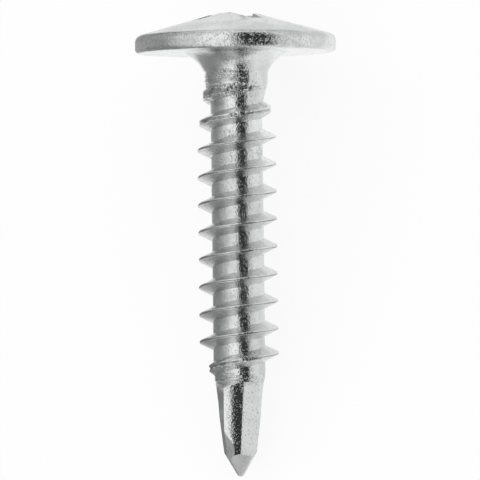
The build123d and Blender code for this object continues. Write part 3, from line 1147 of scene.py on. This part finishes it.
def make_camera():
    """A long lens from the front, a little below the head's plane, with the axis leaning."""
    below, lean = math.radians(VIEW_BELOW), math.radians(VIEW_LEAN)
    to_camera = -BACK * math.cos(below) - HEAD * math.sin(below)
    axis = HEAD * math.cos(below) - BACK * math.sin(below)
    right = math.cos(lean) * ACROSS - math.sin(lean) * axis
    up = math.cos(lean) * axis + math.sin(lean) * ACROSS
    aside, above = PICTURE / 2 - TIP_PIXEL[0], TIP_PIXEL[1] - PICTURE / 2
    middle = TIP + right * aside * PIXEL + up * above * PIXEL
    camera_data = bpy.data.cameras.new("camera")
    camera = bpy.data.objects.new("camera", camera_data)
    bpy.context.scene.collection.objects.link(camera)
    camera_data.sensor_width = SENSOR
    camera_data.lens = SENSOR * VIEW_DISTANCE / (PICTURE * PIXEL)
    turn = Matrix((right, up, to_camera)).transposed().to_4x4()
    camera.matrix_world = Matrix.Translation(Vector(middle + to_camera * VIEW_DISTANCE)) @ turn
    camera_data.clip_start, camera_data.clip_end = 0.05, 3.0
    bpy.context.scene.camera = camera


# ---------------------------------------------------------------- operators


class SCREW_OT_head_and_shank(bpy.types.Operator):
    """Makes the head with its cross recess, the neck, the shank and the core"""

    bl_idname = "screw.head_and_shank"
    bl_label = "Head and shank"

    def execute(self, context):
        scene = context.scene
        theta, radius, height = head_rows(plain(scene.screw_head), plain(scene.screw_thread))
        polar_piece("head_and_shank", theta, radius, height, head_plating())
        return {"FINISHED"}


class SCREW_OT_thread(bpy.types.Operator):
    """Makes the rolled thread's ridge"""

    bl_idname = "screw.thread"
    bl_label = "Thread"

    def execute(self, context):
        scene = context.scene
        shank_r = plain(scene.screw_head).shank_diameter / 2
        points, faces, fold_shade_and_torn_patches = thread_surface(plain(scene.screw_thread), shank_r)
        ridge = finish_piece("thread", points, faces, thread_plating())
        # Keeps on the ridge's points how dark each is painted: painted shade in the crest's fold,
        # and torn patches
        ridge.data.attributes.new("fold_shade_and_torn_patches", "FLOAT", "POINT").data.foreach_set("value", fold_shade_and_torn_patches)
        return {"FINISHED"}


class SCREW_OT_drill_point(bpy.types.Operator):
    """Makes the forged drill point"""

    bl_idname = "screw.drill_point"
    bl_label = "Drill point"

    def execute(self, context):
        scene = context.scene
        core_r = plain(scene.screw_thread).core_diameter / 2
        plan, radius, height = drill_rows(plain(scene.screw_drill), core_r)
        # the plan's second axis points to the front, which is minus back
        polar_piece("drill_point", -plan[:, ::-1], radius[:, ::-1], height[:, ::-1],
                    drill_plating())
        return {"FINISHED"}


class SCREW_OT_studio(bpy.types.Operator):
    """Makes the floor, the soft lights and the camera"""

    bl_idname = "screw.studio"
    bl_label = "Studio"

    def execute(self, context):
        make_floor()
        make_tent()
        make_world()
        make_camera()
        context.scene.view_settings.view_transform = "Standard"
        return {"FINISHED"}


class SCREW_PT_panel(bpy.types.Panel):
    """Lists the screw's sizes and makers"""

    bl_label = "Self drilling screw"
    bl_idname = "SCREW_PT_panel"
    bl_space_type = "VIEW_3D"
    bl_region_type = "UI"
    bl_category = "Screw"

    def draw(self, context):
        for operator in OPERATORS:
            self.layout.operator(operator.bl_idname)
        for name in GROUPS:
            box = self.layout.box()
            group = getattr(context.scene, name)
            for key in group.bl_rna.properties.keys():
                if key not in ("rna_type", "name"):
                    box.prop(group, key)


GROUPS = {
    "screw_head": HeadSizes,
    "screw_thread": ThreadSizes,
    "screw_drill": DrillSizes,
    "screw_finish": FinishSettings,
}
OPERATORS = (SCREW_OT_head_and_shank, SCREW_OT_thread, SCREW_OT_drill_point, SCREW_OT_studio)


def register():
    """Registers the groups, the operators and the panel."""
    for name, group in GROUPS.items():
        bpy.utils.register_class(group)
        setattr(bpy.types.Scene, name, bpy.props.PointerProperty(type=group))
    for made in (*OPERATORS, SCREW_PT_panel):
        bpy.utils.register_class(made)


def unregister():
    """Removes what register made."""
    for made in (SCREW_PT_panel, *reversed(OPERATORS)):
        bpy.utils.unregister_class(made)
    for name, group in reversed(list(GROUPS.items())):
        delattr(bpy.types.Scene, name)
        bpy.utils.unregister_class(group)


def main():
    """Makes every piece and the studio."""
    register()
    bpy.ops.screw.head_and_shank()
    bpy.ops.screw.thread()
    bpy.ops.screw.drill_point()
    bpy.ops.screw.studio()
    bpy.context.view_layer.update()


if __name__ == "__main__":
    main()
